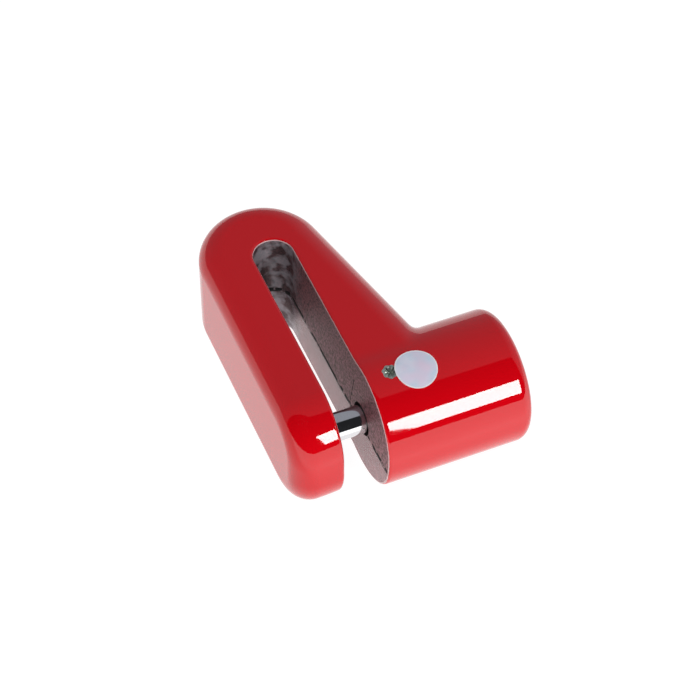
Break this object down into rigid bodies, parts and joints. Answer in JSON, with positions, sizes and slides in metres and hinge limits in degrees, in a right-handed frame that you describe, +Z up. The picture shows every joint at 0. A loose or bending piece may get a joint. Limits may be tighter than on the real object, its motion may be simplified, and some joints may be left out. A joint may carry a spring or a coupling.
{
  "type": "motorcycle disc brake lock",
  "caption": "Pocket-size disc brake lock: red cast U-shaped body, push-in key cylinder and a steel pin that crosses the rotor slot.",
  "frame": {"origin": "bottom centre of the bounding box, with the lock lying flat and locked", "axes": "+X out of the key end along the pin, +Y towards the closed end of the slot, +Z up through the slot"},
  "size_m": [0.0594, 0.0802, 0.0333],
  "materials": {
    "red_paint": "gloss red lacquer on cast zinc, bare metal in the slot",
    "chromed_steel": "bright, hardened pin",
    "zinc_alloy": "die-cast, satin",
    "stainless": "brushed",
    "brass": "machined",
    "spring_steel": "drawn wire",
    "rubber": "matt black seals",
    "label_film": "blank pearly film"
  },
  "bodies": {
    "housing": {"lock_body": "red_paint", "guide_bush": "zinc_alloy", "bush_pin": "zinc_alloy", "stop_pin": "zinc_alloy", "pin_seal": "rubber", "mouth_seal": "rubber", "round_label": "label_film", "return_spring": "spring_steel"},
    "core": {"core_shell": "zinc_alloy", "locking_pin": "chromed_steel", "pin_circlip": "spring_steel", "face_cap": "stainless", "latch_spring": "spring_steel"},
    "latch": {"latch_bolt": "zinc_alloy"},
    "plug": {"key_plug": "brass", "keyhole_dial": "stainless", "shutter_pin": "spring_steel", "shutter_spring": "spring_steel", "wafer_spring_1": "spring_steel", "wafer_spring_2": "spring_steel", "wafer_spring_3": "spring_steel", "wafer_spring_4": "spring_steel", "wafer_spring_5": "spring_steel"},
    "shutter": {"shutter_flap": "stainless"},
    "wafer_body_1": {"wafer_1": "brass"},
    "wafer_body_2": {"wafer_2": "brass"},
    "wafer_body_3": {"wafer_3": "brass"},
    "wafer_body_4": {"wafer_4": "brass"},
    "wafer_body_5": {"wafer_5": "brass"}
  },
  "joints": [
    {"name": "core_slide", "type": "slide", "parent": "housing", "child": "core", "axis": [1, 0, 0], "range_m": [0, 0.0145], "deforming": ["return_spring"]},
    {"name": "plug_turn", "type": "hinge", "parent": "core", "child": "plug", "pos_m": [0.02765, -0.02363, 0.0165], "axis": [1, 0, 0], "range_deg": [0, 90], "stiffness_Nm_per_rad": 0.00031, "springref_deg": -112.3},
    {"name": "latch_slide", "type": "slide", "parent": "core", "child": "latch", "axis": [0, -1, 0], "range_m": [0, 0.0016], "deforming": ["latch_spring"]},
    {"name": "shutter_swing", "type": "hinge", "parent": "plug", "child": "shutter", "pos_m": [0.02695, -0.02523, 0.0165], "axis": [0, 0, 1], "range_deg": [0, 80], "stiffness_Nm_per_rad": 0.000003, "springref_deg": -45.84, "deforming": ["shutter_spring"]},
    {"name": "wafer_1_slide", "type": "slide", "parent": "plug", "child": "wafer_body_1", "axis": [0, 0, -1], "range_m": [0, 0.0007], "stiffness_N_per_m": 50, "springref_m": -0.001, "deforming": ["wafer_spring_1"]},
    {"name": "wafer_2_slide", "type": "slide", "parent": "plug", "child": "wafer_body_2", "axis": [0, 0, 1], "range_m": [0, 0.0007], "deforming": ["wafer_spring_2"]},
    {"name": "wafer_3_slide", "type": "slide", "parent": "plug", "child": "wafer_body_3", "axis": [0, 0, -1], "range_m": [0, 0.0007], "deforming": ["wafer_spring_3"]},
    {"name": "wafer_4_slide", "type": "slide", "parent": "plug", "child": "wafer_body_4", "axis": [0, 0, 1], "range_m": [0, 0.0007], "deforming": ["wafer_spring_4"]},
    {"name": "wafer_5_slide", "type": "slide", "parent": "plug", "child": "wafer_body_5", "axis": [0, 0, -1], "range_m": [0, 0.0007], "deforming": ["wafer_spring_5"]}
  ],
  "couplings": [
    {"joint": "latch_slide", "follows": "plug_turn", "m_per_rad": 0.001018},
    {"joint": "wafer_2_slide", "follows": "wafer_1_slide", "ratio": 1},
    {"joint": "wafer_3_slide", "follows": "wafer_1_slide", "ratio": 1},
    {"joint": "wafer_4_slide", "follows": "wafer_1_slide", "ratio": 1},
    {"joint": "wafer_5_slide", "follows": "wafer_1_slide", "ratio": 1}
  ]
}
